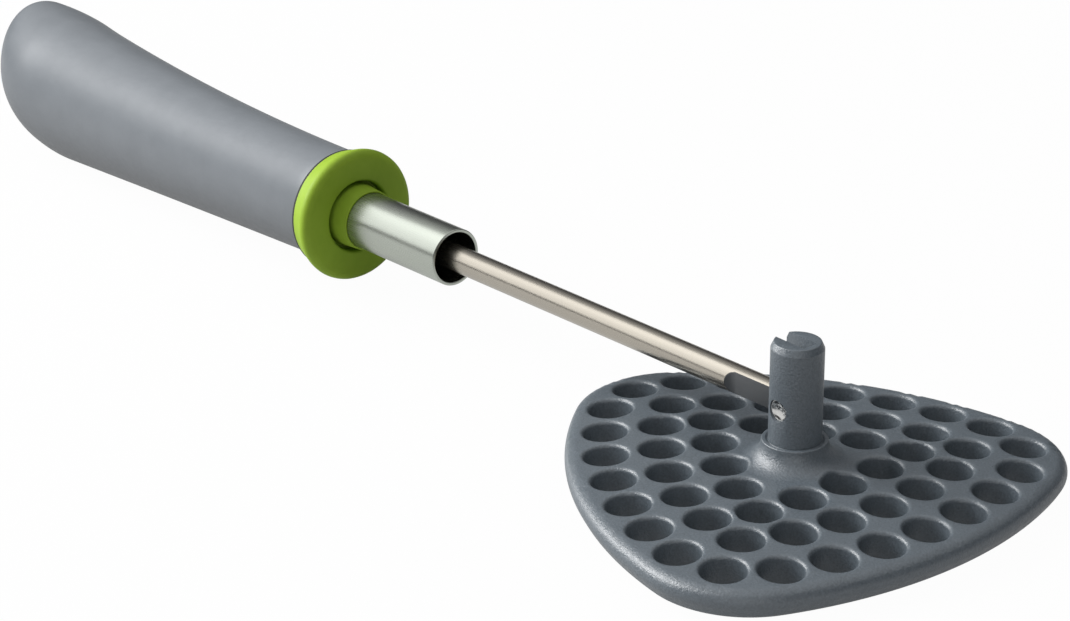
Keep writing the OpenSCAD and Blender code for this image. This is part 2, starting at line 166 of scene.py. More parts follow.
# Fineness of the meshes
ROUND = 128
RIVET_ROUND = 96
BORE_ROUND = 64
HOLE_ROUND = 48
COLUMNS = 240
EDGE_STEPS = 6
RIM_STEPS = 12
COVE_STEPS = 13
TONGUE_STEPS = 16
POST_EDGE_STEPS = 3
TONGUE_ROWS = 8
SHAFT_ROWS = 40
GRIP_ROWS = 40
BUTT_ROWS = 56
SHARP_DEG, BAR_SHARP_DEG, GRIP_SHARP_DEG = 35, 25, 50

SHOULDER_Z = PLATE_H + SHOULDER_H
HINGE_Z = PLATE_H + HINGE_H
POST_TOP = PLATE_H + POST_H
FACE_S = NECK_S + NECK_LEN
COLLAR_BACK_S = FACE_S + COLLAR_LEN
SLEEVE_END_S = COLLAR_BACK_S - COLLAR_WALL
FRONT_S = COLLAR_BACK_S + HANDLE_GAP
SWEEP_S = FRONT_S + BELLY_LEN
SHAFT_END_S = FRONT_S + SHAFT_GRIP

# The camera, fitted to the photograph
CAMERA_AIM = Vector((-97.12, 8.59, 10.74))
CAMERA_AZIMUTH = -40.067
CAMERA_ELEVATION = 23.42
CAMERA_DISTANCE = 836.0
CAMERA_LENS = 118.93
SENSOR_W = 36.0
CLIP_NEAR, CLIP_FAR = 10.0, 20000.0

# Light and floor. A lamp has its azimuth, elevation and distance from the object's middle, its size,
# its power and the group of pieces that it lights.
LAMPS = (
    ("key_light", 224, 38, 900.0, (800.0, 600.0), 14.0, "the_rest"),
    ("metal_light", 228, 40, 900.0, (1200.0, 1100.0), 6.3, "metals"),
    ("side_light", 200, 14, 1000.0, (500.0, 400.0), 4.0, "head_mouldings"),
    ("grip_light", 246, 50, 900.0, (550.0, 450.0), 19.0, "grip_mouldings"),
    ("front_light", -40, 10, 1000.0, (1000.0, 700.0), 2.5, "head_mouldings"),
    ("collar_light", 215, 25, 900.0, (500.0, 400.0), 14.5, "collar_mouldings"))
DOME_LIGHT = 0.6
DOME_STOPS = ((0.2, (0.07, 0.07, 0.073, 1)), (0.5, (0.25, 0.25, 0.26, 1)), (0.85, (1.6, 1.6, 1.6, 1)))
FLOOR_HALF = 6000.0
FLOOR_DROP = 0.1
FLOOR_TINT = 0.48
FLOOR_SEEN = 0.975
FLOOR_MIRRORED = 0.46

# Materials
NOISE_LOW, NOISE_HIGH = 0.3, 0.7
STREAK_GRAIN = 0.12
STREAK_LEN = 60
STREAK_DARK = 0.985
STREAK_ROUGH = 0.012
MOTTLE_DARK = 0.95

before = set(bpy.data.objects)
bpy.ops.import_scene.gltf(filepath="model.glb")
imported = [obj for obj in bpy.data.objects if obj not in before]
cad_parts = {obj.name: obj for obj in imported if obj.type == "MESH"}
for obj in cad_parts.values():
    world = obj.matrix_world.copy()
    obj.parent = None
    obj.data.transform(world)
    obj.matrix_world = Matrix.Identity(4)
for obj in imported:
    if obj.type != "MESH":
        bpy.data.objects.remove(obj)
cad_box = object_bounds()


# Mesh helpers

def rounded(points):
    """Profile of (r, z) or (r, z, corner radius) points, with the corners that have a radius rounded."""
    out = []
    for i, point in enumerate(points):
        here = Vector(point[:2])
        if len(point) == 2:
            out.append(here)
            continue
        back = (Vector(points[i - 1][:2]) - here).normalized()
        ahead = (Vector(points[(i + 1) % len(points)][:2]) - here).normalized()
        half = back.angle(ahead) / 2
        centre = here + (back + ahead).normalized() * point[2] / math.sin(half)
        tangent = point[2] / math.tan(half)
        start, end = here + back * tangent - centre, here + ahead * tangent - centre
        first = math.atan2(start.y, start.x)
        turn = (math.atan2(end.y, end.x) - first + math.pi) % (2 * math.pi) - math.pi
        for k in range(EDGE_STEPS + 1):
            a = first + turn * k / EDGE_STEPS
            out.append(centre + Vector((math.cos(a), math.sin(a))) * point[2])
    return out


def rows_to_faces(rows):
    """Quads, or triangles at a pole, between successive rings of vertex numbers."""
    faces = []
    for a, b in zip(rows, rows[1:]):
        count = max(len(a), len(b))
        for i in range(count):
            j = (i + 1) % count
            ring = [a[i % len(a)], a[j % len(a)], b[j % len(b)], b[i % len(b)]]
            face = list(dict.fromkeys(ring))
            if len(face) > 2:
                faces.append(face)
    return faces


def turn_angles(count):
    """Angles of one turn in equal steps, from zero."""
    return [2 * math.pi * i / count for i in range(count)]


def lathe(profile, count=ROUND):
    """A profile of (r, z) turned round the Z axis."""
    points, rows = [], []
    for r, z in profile:
        ring = 1 if r < SAME_POINT else count
        rows.append(range(len(points), len(points) + ring))
        points += [(r * math.cos(a), r * math.sin(a), z) for a in turn_angles(ring)]
    return points, rows_to_faces(rows)


def middle_of(ring):
    """Mean of the points of a ring."""
    return sum((Vector(p) for p in ring), Vector((0, 0, 0))) / len(ring)


def new_object(name, points, faces, place=None):
    """An object whose mesh is the points, in millimetres, after they are put in place."""
    place = place or Matrix.Identity(4)
    mesh = bpy.data.meshes.new(name)
    mesh.from_pydata([(place @ Vector(p)) * MM for p in points], [], faces)
    shape = bmesh.new()
    shape.from_mesh(mesh)
    bmesh.ops.remove_doubles(shape, verts=shape.verts, dist=SAME_POINT * MM)
    bmesh.ops.recalc_face_normals(shape, faces=shape.faces)
    shape.to_mesh(mesh)
    shape.free()
    obj = bpy.data.objects.new(name, mesh)
    bpy.context.scene.collection.objects.link(obj)
    return obj


def dress(obj, body, material, node, sharp=SHARP_DEG):
    """Smooth shading, material, body and the CAD node that the piece stands for."""
    obj.data.shade_smooth()
    obj.data.set_sharp_from_angle(angle=math.radians(sharp))
    obj.data.materials.clear()
    obj.data.materials.append(material)
    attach(obj, body)
    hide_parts(node)
    return obj


def apply_modifiers(obj):
    """The object's mesh becomes what its modifiers make of it."""
    graph = bpy.context.evaluated_depsgraph_get()
    mesh = bpy.data.meshes.new_from_object(obj.evaluated_get(graph))
    obj.modifiers.clear()
    obj.data = mesh


def cut(obj, cutters):
    """Takes the cutters out of the object, and deletes them."""
    for cutter in cutters:
        modifier = obj.modifiers.new("cut", "BOOLEAN")
        modifier.object = cutter
        modifier.operation = "DIFFERENCE"
        modifier.solver = "EXACT"
    bpy.context.view_layer.update()
    apply_modifiers(obj)
    for cutter in cutters:
        bpy.data.objects.remove(cutter)


# Where the handle lies. Folded, the shaft drops by the tilt, so that the butt's sweep rests on the
# surface that the head stands on.

BELLY_NORMAL = Vector((BELLY_TAPER, 1)).normalized()
SWEEP_CENTRE = Vector((SWEEP_S, -(BELLY_FRONT + BELLY_TAPER * BELLY_LEN))) + SWEEP_R * BELLY_NORMAL
BUTT_S = SWEEP_CENTRE.x + SWEEP_R
FOLD_TILT = (math.asin((HINGE_Z - SWEEP_R) / SWEEP_CENTRE.length)
             + math.atan2(SWEEP_CENTRE.y, SWEEP_CENTRE.x))
ON_SHAFT = (Matrix.Translation((0, 0, HINGE_Z))
            @ Matrix.Rotation(-math.pi / 2 - FOLD_TILT, 4, "Y"))
CROSSWAYS = Matrix.Translation((0, 0, HINGE_Z)) @ Matrix.Rotation(math.pi / 2, 4, "X")


# The plate's three-cornered outline. An arc of radius r round each corner, whose middle is at the
# reach from the post, meets the arc of each side, whose middle is at the side's own distance.

def corner_x(reach, r):
    """How far the centre of a corner's arc is from the post."""
    return reach - r


def side_x(reach, side, r):
    """How far past the post the centre of a side's arc is."""
    corner, inner = corner_x(reach, r), side - r
    return (corner * corner - inner * inner) / (2 * inner - corner)


def side_centre(reach, side, r):
    """Centre of a side's arc, for the side that follows the corner at angle 0."""
    return Vector((math.cos(math.pi / 3), math.sin(math.pi / 3))) * -side_x(reach, side, r)


def corner_angle(reach, side, r):
    """Half the angle of a corner's arc, as far as it meets the side's."""
    way = Vector((corner_x(reach, r), 0)) - side_centre(reach, side, r)
    return math.atan2(way.y, way.x)


def outline_point(reach, side, r, t):
    """Point at a share t of the way from a corner, at angle 0, to the middle of a side."""
    turn = corner_angle(reach, side, r)
    side_r = side + side_x(reach, side, r)
    corner_part = r * turn
    way = t * (corner_part + side_r * (math.pi / 3 - turn))
    if way <= corner_part:
        a, centre, radius = way / r, Vector((corner_x(reach, r), 0)), r
    else:
        a, centre, radius = turn + (way - corner_part) / side_r, side_centre(reach, side, r), side_r
    return centre + radius * Vector((math.cos(a), math.sin(a)))


RIM = (CORNER_REACH, SIDE_REACH, CORNER_R)
RIM_TURN = corner_angle(*RIM)
RIM_CORNER = Vector((corner_x(CORNER_REACH, CORNER_R), 0))
RIM_SIDE = side_centre(*RIM)
RIM_SIDE_R = SIDE_REACH + side_x(*RIM)
ON_AXIS = 0.01                # a point this near to a corner's own axis counts as on it


def turned(p, angle):
    """A flat point turned round the post."""
    c, s = math.cos(angle), math.sin(angle)
    return Vector((p.x * c - p.y * s, p.x * s + p.y * c))


def rim_place(x, y):
    """Distance inside the rim, and the outward direction, of a point of the plate."""
    sector = round((math.atan2(y, x) - math.pi) / (2 * math.pi / 3)) * 2 * math.pi / 3 + math.pi
    p = turned(Vector((x, y)), -sector)
    sign = 1 if p.y >= 0 else -1
    p = Vector((p.x, abs(p.y)))
    from_corner, from_side = p - RIM_CORNER, p - RIM_SIDE
    way = math.atan2(from_corner.y, from_corner.x)
    if from_corner.x > 0 and way < RIM_TURN:
        return CORNER_R - from_corner.length, sector + sign * way
    way = math.atan2(from_side.y, from_side.x) if p.y > ON_AXIS else 0
    return RIM_SIDE_R - from_side.length, sector + sign * way


TOP_TURN = math.asin((SIDE_REACH - RIM_TOP_R) / (CROWN_R - RIM_TOP_R))
TOP_Z = PLATE_H - CROWN_R + (CROWN_R - RIM_TOP_R) * math.cos(TOP_TURN)
LIFT_R = (LIFT_BAND ** 2 + RIM_LIFT ** 2) / (2 * RIM_LIFT)
FOOT_TURN = math.asin((LIFT_BAND - RIM_TAPER - RIM_FOOT_R) / (LIFT_R - RIM_FOOT_R))
FOOT_Z = LIFT_R - (LIFT_R - RIM_FOOT_R) * math.cos(FOOT_TURN)
SIDE_RUN = Vector((TOP_Z - FOOT_Z, RIM_TAPER + RIM_FOOT_R - RIM_TOP_R))
SIDE_LEAN = math.asin((RIM_TOP_R - RIM_FOOT_R) / SIDE_RUN.length) + math.atan2(SIDE_RUN.y, SIDE_RUN.x)


def top_height(x, y):
    """Height of the plate's top: its rounded rim, its crown, and the hollow cove up to the shoulder."""
    inset = rim_place(x, y)[0]
    if inset < RIM_TOP_R * (1 - math.sin(TOP_TURN)):
        crown = TOP_Z + math.sqrt(max(0, RIM_TOP_R ** 2 - (RIM_TOP_R - inset) ** 2))
    else:
        crown = PLATE_H - CROWN_R + math.sqrt(CROWN_R ** 2 - (SIDE_REACH - inset) ** 2)
    reach = SHOULDER_R + COVE_R - math.hypot(x, y)
    if reach <= 0:
        return crown
    return max(crown, SHOULDER_Z - math.sqrt(max(0, COVE_R ** 2 - reach ** 2)))


def underside_height(x, y):
    """Height of the underside, which is flat in the middle and curves up to the rim."""
    over = max(0, LIFT_BAND - rim_place(x, y)[0])
    return LIFT_R - math.sqrt(LIFT_R ** 2 - over ** 2)


# The food holes

class FoodHole:
    """One hole, square to the crown where it stands, as rings of points from top to underside."""

    def __init__(self, centre, near):
        inset, way = rim_place(centre.x, centre.y)
        lean = math.asin((SIDE_REACH - inset) / CROWN_R)
        top = PLATE_H - CROWN_R * (1 - math.cos(lean))
        self.place = (Matrix.Translation((centre.x, centre.y, top))
                      @ Matrix.Rotation(way, 4, "Z") @ Matrix.Rotation(lean, 4, "Y"))
        self.limits = [((p - centre).length / 2, math.atan2(p.y - centre.y, p.x - centre.x) - way)
                       for p in near]
        self.top = self.edge(HOLE_EDGE_R, top_height, 0, 1)
        self.foot = self.edge(HOLE_FOOT_R, underside_height, -top, -1)
        self.bands = self.top + self.foot[::-1]

    def room(self, a):
        """How far the hole's edge may reach in a direction before it meets the next hole's."""
        return min([(half - HOLE_LAND / 2) / math.cos(a - way) for half, way in self.limits
                    if math.cos(a - way) > FACING], default=CORNER_REACH)

    def edge(self, radius, height, depth, side):
        """Rings from the flat face, round the rounded edge, to the hole's wall."""
        most = radius
        rings = [[] for _ in range(EDGE_STEPS + 1)]
        for a in turn_angles(HOLE_ROUND):
            radius = min(most, self.room(a) - HOLE_R)
            wide = HOLE_R + radius
            down = depth
            for _ in range(SETTLE_STEPS):
                rim = self.place @ Vector((wide * math.cos(a), wide * math.sin(a), down))
                down += height(rim.x, rim.y) - rim.z
            for k, ring in enumerate(rings):
                turn = k / EDGE_STEPS * math.pi / 2
                r = wide - radius * math.sin(turn)
                z = down - side * radius * (1 - math.cos(turn))
                ring.append(self.place @ Vector((r * math.cos(a), r * math.sin(a), z)))
        return rings


def food_holes():
    """Three rings of holes, each inside the one before it, that follow the plate's outline."""
    centres = []
    for n, steps in enumerate(RING_STEPS):
        reach = CORNER_REACH - OUTER_INSET - n * (RING_PITCH + CORNER_PITCH_EXTRA)
        side = SIDE_REACH - OUTER_INSET - n * RING_PITCH
        for k in range(3):
            for j in range(-steps + 1, steps + 1):
                p = outline_point(reach, side, RING_CORNER_R[n], abs(j) / steps)
                p.y *= -1 if j < 0 else 1
                centres.append(turned(p, math.pi + k * 2 * math.pi / 3))
    close = 2 * (HOLE_R + HOLE_EDGE_R) + HOLE_NEAR
    return [FoodHole(c, [p for p in centres if 0 < (p - c).length < close]) for c in centres]


# The mashing plate

RIM_EDGE_INSET = 0.7          # the top face runs out to here, and the rim's own rings go on from it
RIM_ROWS = (1.0, 1.4, 1.9, 2.5, 3.3)
FOOT_ROWS = (2.4, 4.5, 7.5, 11.0)
FIELD_PITCH = 1.9
ROWS_TO_FIELD = 0.8
HOLE_TO_FIELD = 0.25
COVE_TO_FIELD = 0.5
HOLE_TO_COVE = 0.12
COVE_TURN = math.radians(88)  # where the cove has run out on the crown
JUST_INSIDE = 0.999           # a point of the rim times this lies inside it
TRIANGLE_MERGE = 1e-5         # points of a face that are nearer than this count as one


def rim_columns():
    """Points round the rim, evenly spaced, each with the direction that points outwards there."""
    per = COLUMNS // 6
    columns = []
    for k in range(3):
        for j in range(-per, per):
            p = outline_point(*RIM, abs(j) / per)
            q = turned(Vector((p.x, -p.y if j < 0 else p.y)), math.pi + k * 2 * math.pi / 3)
            way = rim_place(q.x * JUST_INSIDE, q.y * JUST_INSIDE)[1]
            columns.append((q, Vector((math.cos(way), math.sin(way)))))
    return columns


def rim_ring(columns, inset, z):
    """The rim's outline, drawn in by an inset."""
    return [Vector((p.x - inset * out.x, p.y - inset * out.y, z)) for p, out in columns]


def near_hole(p, holes, radius):
    """Whether a point is within a radius of the middle of any hole."""
    return any((p.x - h[0]) ** 2 + (p.y - h[1]) ** 2 < radius * radius for h in holes)


def face_of_plate(outline, rings, extra, height):
    """Triangles of a face of the plate: inside its outline and outside the rings of its holes."""
    flat, heights, edges, owners = [], [], [], []
    for n, loop in enumerate([outline, *rings]):
        first = len(flat)
        flat += [Vector(p[:2]) for p in loop]
        heights += [p[2] for p in loop]
        owners += [n] * len(loop)
        edges += [(first + i, first + (i + 1) % len(loop)) for i in range(len(loop))]
    flat += [Vector(p[:2]) for p in extra]
    heights += [p[2] for p in extra]
    owners += [0] * len(extra)
    points, _, faces, origin, _, _ = delaunay_2d_cdt(flat, edges, [], 0, TRIANGLE_MERGE)
    owner = [owners[o[0]] if o else 0 for o in origin]
    # A triangle whose corners are all on one hole's ring lies in the hole, because rings are round
    kept = [list(f) for f in faces if owner[f[0]] == 0 or len({owner[i] for i in f}) > 1]
    solid = [(p.x, p.y, heights[o[0]] if o else height(p.x, p.y)) for p, o in zip(points, origin)]
    return solid, kept


def field_points(columns, rings, row_insets, height, keep_out):
    """Points along the rim and between the holes that carry the shape of a face."""
    centres = [middle_of(ring) for ring in rings]
    reach = max((Vector(p) - c).length for ring, c in zip(rings, centres) for p in ring)
    found = []
    for inset in row_insets:
        found += rim_ring(columns, inset, 0)[::2]
    span = int(CORNER_REACH / FIELD_PITCH) + 1
    for i in range(-span, span + 1):
        for j in range(-span, span + 1):
            x = (i + 0.5 * (j % 2)) * FIELD_PITCH
            y = j * FIELD_PITCH * math.sqrt(3) / 2
            if math.hypot(x, y) > keep_out and rim_place(x, y)[0] > row_insets[-1] + ROWS_TO_FIELD:
                found.append(Vector((x, y, 0)))
    return [(p.x, p.y, height(p.x, p.y)) for p in found
            if not near_hole(p, centres, reach + HOLE_TO_FIELD)]


def mashing_plate():
    """Crowned plate with its rim, the food holes and the cove up to the shoulder."""
    holes = food_holes()
    columns = rim_columns()
    points, faces = [], []

    def add(new_points, new_faces):
        first = len(points)
        points.extend(new_points)
        faces.extend([[first + i for i in face] for face in new_faces])

    # Top face with the cove
    top_rings = [h.top[0] for h in holes]
    hole_centres = [middle_of(ring) for ring in top_rings]
    extra = field_points(columns, top_rings, RIM_ROWS, top_height, SHOULDER_R + COVE_R + COVE_TO_FIELD)
    cove_rings = []
    for a in np.linspace(math.asin(SHOULDER_LIP_R / COVE_R), COVE_TURN, COVE_STEPS + 1):
        r, z = SHOULDER_R + COVE_R * (1 - math.cos(a)), SHOULDER_Z - COVE_R * math.sin(a)
        cove_rings.append([(r * math.cos(t), r * math.sin(t), z) for t in turn_angles(ROUND)])
    clear = HOLE_R + HOLE_EDGE_R + HOLE_TO_COVE
    for ring in cove_rings[1:]:
        extra += [p for p in ring if not near_hole(Vector(p), hole_centres, clear)]
    edge_turn = math.asin(1 - RIM_EDGE_INSET / RIM_TOP_R)
    edge = rim_ring(columns, RIM_EDGE_INSET, TOP_Z + RIM_TOP_R * math.cos(edge_turn))
    add(*face_of_plate(edge, top_rings + [cove_rings[0]], extra, top_height))

    # Underside
    foot_rings = [h.foot[0] for h in holes]
    extra = field_points(columns, foot_rings, FOOT_ROWS, underside_height, 0)
    edge = rim_ring(columns, RIM_TAPER + RIM_FOOT_R * (1 - math.sin(FOOT_TURN)),
                    FOOT_Z - RIM_FOOT_R * math.cos(FOOT_TURN))
    add(*face_of_plate(edge, foot_rings, extra, underside_height))

    # Rim, from the top face's edge to the underside's
    rings = []
    for a in np.linspace(edge_turn, math.pi / 2 + SIDE_LEAN, RIM_STEPS + 1):
        rings.append(rim_ring(columns, RIM_TOP_R * (1 - math.sin(a)), TOP_Z + RIM_TOP_R * math.cos(a)))
    for a in np.linspace(math.pi / 2 - SIDE_LEAN, FOOT_TURN, RIM_STEPS + 1):
        rings.append(rim_ring(columns, RIM_TAPER + RIM_FOOT_R * (1 - math.sin(a)),
                              FOOT_Z - RIM_FOOT_R * math.cos(a)))
    for bands in [rings] + [h.bands for h in holes]:
        size = len(bands[0])
        rows = [range(size * n, size * (n + 1)) for n in range(len(bands))]
        add([p for ring in bands for p in ring], rows_to_faces(rows))
    return new_object("mashing_plate", points, faces)


def hinge_post():
    """Shoulder and slotted post, with the bores that take the rivet's heads."""
    root = PLATE_H - POST_ROOT
    relief = SHOULDER_Z - RELIEF_DEPTH
    profile = rounded([
        (0, root), (SHOULDER_R - SHOULDER_ROOT_IN, root), (SHOULDER_R, SHOULDER_Z - SHOULDER_LIP_H),
        (SHOULDER_R, SHOULDER_Z, SHOULDER_LIP_R), (POST_R + RELIEF_W, SHOULDER_Z, RELIEF_EDGE_R),
        (POST_R + RELIEF_FLOOR, relief, RELIEF_FLOOR_R), (POST_R, relief + RELIEF_FLOOR, RELIEF_FOOT_R),
        (POST_R, POST_TOP - POST_CHAMFER_H, CHAMFER_FOOT_R),
        (POST_R - POST_CHAMFER_W, POST_TOP, CHAMFER_TOP_R), (0, POST_TOP)])
    post = new_object("hinge_post", *lathe(profile))
    reach = SHAFT_R + SLOT_END_CLEAR
    half = TONGUE_T / 2 + SLOT_CLEAR
    low, high = HINGE_Z - reach - SLOT_END_CLEAR, POST_TOP + SLOT_OVERCUT
    corners = [(x, y, z) for x in (-2 * POST_R, reach) for y in (-half, half) for z in (low, high)]
    sides = [(0, 1, 3, 2), (4, 6, 7, 5), (0, 4, 5, 1), (2, 3, 7, 6), (0, 2, 6, 4), (1, 5, 7, 3)]
    cutters = [new_object("slot_cutter", corners, sides)]
    bore_r, floor = RIVET_HEAD_R + RIVET_FIT, RIVET_REACH - RIVET_HEAD_T
    bore = lathe([(0, floor), (bore_r, floor), (bore_r, 2 * POST_R), (0, 2 * POST_R)], BORE_ROUND)
    for side in (0, math.pi):
        cutters.append(new_object("bore_cutter", *bore, CROSSWAYS @ Matrix.Rotation(side, 4, "X")))
    cut(post, cutters)
    bevel = post.modifiers.new("edges", "BEVEL")
    bevel.width = POST_EDGE_W * MM
    bevel.segments = POST_EDGE_STEPS
    bevel.limit_method = "ANGLE"
    bevel.angle_limit = math.radians(POST_EDGE_DEG)
    bevel.use_clamp_overlap = True
    apply_modifiers(post)
    return post


def pivot_rivet():
    """Rivet with a dished head at each end."""
    foot = RIVET_REACH - RIVET_HEAD_T
    end = [(0, RIVET_REACH - RIVET_DISH), (RIVET_HEAD_R - RIVET_RIM_W, RIVET_REACH, RIVET_DISH_R),
           (RIVET_HEAD_R, RIVET_REACH, RIVET_RIM_R), (RIVET_HEAD_R, foot), (RIVET_R, foot)]
    profile = rounded(end + [(r, -z, *edge) for r, z, *edge in reversed(end)])
    return new_object("rivet", *lathe(profile, RIVET_ROUND), CROSSWAYS)


# Shaft, sleeve and collar

FLAT_DEPTH = SHAFT_R - TONGUE_T / 2
HOLLOW_LEN = math.sqrt(TONGUE_CUTTER_R ** 2 - (TONGUE_CUTTER_R - FLAT_DEPTH) ** 2)


def flat_height(along):
    """Height of the bar's flats over its middle, a length along the hollows in which they run out."""
    return TONGUE_T / 2 + TONGUE_CUTTER_R - math.sqrt(TONGUE_CUTTER_R ** 2 - along ** 2)


def bar():
    """Round bar whose flats run out in a hollow, with a round end at the hinge."""
    points, rows = [], []

    def ring(s, half_x, flat_y, square=False):
        rows.append(range(len(points), len(points) + ROUND))
        for a in turn_angles(ROUND):
            x, y = half_x * math.cos(a), SHAFT_R * math.sin(a)
            if square:
                x = half_x * max(-1, min(1, math.cos(a) * TONGUE_SQUARE))
                y = flat_y * max(-1, min(1, math.sin(a) * TONGUE_SQUARE))
            points.append((x, max(-flat_y, min(flat_y, y)), s))

    for k in range(TONGUE_STEPS):
        a = math.pi / 2 * (1 - k / TONGUE_STEPS)
        ring(-SHAFT_R * math.sin(a), max(SHAFT_R * math.cos(a), TONGUE_TIP), TONGUE_T / 2, square=True)
    for s in np.linspace(TONGUE_START, TONGUE_LEN, TONGUE_ROWS):
        ring(s, SHAFT_R, TONGUE_T / 2)
    for k in range(1, TONGUE_STEPS + 1):
        along = HOLLOW_LEN * math.sin(math.pi / 2 * k / TONGUE_STEPS)
        ring(TONGUE_LEN + along, SHAFT_R, flat_height(along))
    for s in np.linspace(TONGUE_LEN + HOLLOW_LEN + ROUND_START, SHAFT_END_S, SHAFT_ROWS):
        ring(s, SHAFT_R, SHAFT_R)
    caps = [list(rows[0]), list(rows[-1])]
    return new_object("bar", points, rows_to_faces(rows) + caps, ON_SHAFT)


def lock_sleeve():
    """Tube open at its mouth, with the far end inside the collar."""
    bore = SLEEVE_R - SLEEVE_WALL
    profile = rounded([(bore, SLEEVE_END_S), (bore, MOUTH_S, BORE_LIP_R), (SLEEVE_R, MOUTH_S, LIP_R),
                       (SLEEVE_R, SLEEVE_END_S), (bore, SLEEVE_END_S)])
    return new_object("sleeve_tube", *lathe(profile), ON_SHAFT)


def slide_collar():
    """Collar with its neck, a groove round the neck and a narrow land at its back edge."""
    neck = SLEEVE_R + NECK_LIP
    bore = SHAFT_R + COLLAR_CLEAR
    floor_s = FACE_S + GROOVE_DEPTH
    face_s = FACE_S - COLLAR_FACE_OUT
    land_s = COLLAR_BACK_S - COLLAR_LAND_W
    profile = rounded([
        (SLEEVE_R, SLEEVE_END_S), (SLEEVE_R, NECK_S, NECK_LIP_R), (neck, NECK_S, NECK_LIP_R),
        (neck + NECK_TAPER, floor_s, GROOVE_FLOOR_R), (GROOVE_R, floor_s, GROOVE_FLOOR_R),
        (GROOVE_R, face_s, GROOVE_EDGE_R), (COLLAR_CORNER_R, face_s, COLLAR_EDGE_R),
        (COLLAR_LAND_R, land_s), (COLLAR_LAND_R, COLLAR_BACK_S, COLLAR_LAND_EDGE_R),
        (bore, COLLAR_BACK_S), (bore, SLEEVE_END_S), (SLEEVE_R, SLEEVE_END_S)])
    return new_object("collar", *lathe(profile), ON_SHAFT)


def finish_part(obj, material, chosen):
    """Gives another material, a finish or a painted shade, to the faces that a test picks by their
    middles, in the shaft's own frame.
    """
    obj.data.materials.append(material)
    off_shaft = ON_SHAFT.inverted()
    for face in obj.data.polygons:
        face.material_index = int(chosen(off_shaft @ (face.center / MM)))


def on_flats(p):
    """Whether a place on the bar is on one of the two flats pressed into its tongue."""
    along = max(0, p.z - TONGUE_LEN)
    return along < HOLLOW_LEN and abs(p.y) > flat_height(along) - FLAT_MARGIN


def on_land(p):
    """Whether a place on the collar is on the narrow land round its back edge, which takes a painted
    shade of the gap behind the collar.
    """
    return p.z > COLLAR_BACK_S - COLLAR_LAND_W and p.xy.length > COLLAR_LAND_R - LAND_MARGIN


# Handle

def top_line(s):
    """Height of the handle's top over the shaft, a parabola through its front, middle and butt."""
    u = (s - FRONT_S) / PROFILE_LEN
    return (TOP_FRONT * (1 - u) * (1 - 2 * u) + 4 * TOP_MIDDLE * u * (1 - u)
            + TOP_BUTT * u * (2 * u - 1))


def belly_line(s):
    """Height of the handle's belly, which drops steadily towards the butt."""
    return -(BELLY_FRONT + BELLY_TAPER * (s - FRONT_S))


def fade(s, length):
    """Share left of a height or width towards the butt's tip, as a quarter ellipse."""
    x = max(0, (s - BUTT_S + length) / length)
    return math.sqrt(max(0, 1 - x * x))


def grip_ring(s, inset=0.0):
    """Points of the grip's outside at a station, drawn in by an inset."""
    sweep = math.sqrt(max(0, SWEEP_R ** 2 - (s - SWEEP_CENTRE.x) ** 2))
    low = belly_line(s) if s < SWEEP_S else SWEEP_CENTRE.y - sweep
    high = SWEEP_CENTRE.y + (top_line(s) - SWEEP_CENTRE.y) * fade(s, BUTT_TOP_LEN)
    wide = WIDTH_RATIO * (top_line(s) - belly_line(s)) / 2 * fade(s, BUTT_SIDE_LEN)
    middle, half = (high + low) / 2, (high - low) / 2
    return [(middle + max(0, half - inset) * math.cos(a), max(0, wide - inset) * math.sin(a), s)
            for a in turn_angles(ROUND)]


def grip():
    """Soft grip, from the inside of its front round the edge and along to the butt's tip."""
    rings = [[(CORE_FRONT_R * math.cos(a), CORE_FRONT_R * math.sin(a), s) for a in turn_angles(ROUND)]
             for s in (FRONT_S + SOCKET_DEPTH, FRONT_S)]
    for k in range(EDGE_STEPS + 1):
        a = math.pi / 2 * k / EDGE_STEPS
        s, inset = FRONT_S + FRONT_EDGE_R * (1 - math.cos(a)), FRONT_EDGE_R * (1 - math.sin(a))
        rings.append(grip_ring(s, inset))
    rings += [grip_ring(s) for s in np.linspace(FRONT_S + FRONT_EDGE_R, SWEEP_S, GRIP_ROWS + 1)[1:]]
    for k in range(1, BUTT_ROWS):
        rings.append(grip_ring(SWEEP_S + (BUTT_S - SWEEP_S) * math.sin(math.pi / 2 * k / BUTT_ROWS)))
    points = [p for ring in rings for p in ring]
    rows = [range(ROUND * n, ROUND * (n + 1)) for n in range(len(rings))]
    points.append((middle_of(grip_ring(BUTT_S - TIP_GAP)).x, 0, BUTT_S))
    rows.append([len(points) - 1])
    return new_object("grip", points, rows_to_faces(rows), ON_SHAFT)


# Materials

def linear(r, g, b):
    """Linear colour of an sRGB colour given as 0 to 255."""
    return tuple(c / 255 / 12.92 if c <= 10 else ((c / 255 + 0.055) / 1.055) ** 2.4
                 for c in (r, g, b)) + (1,)


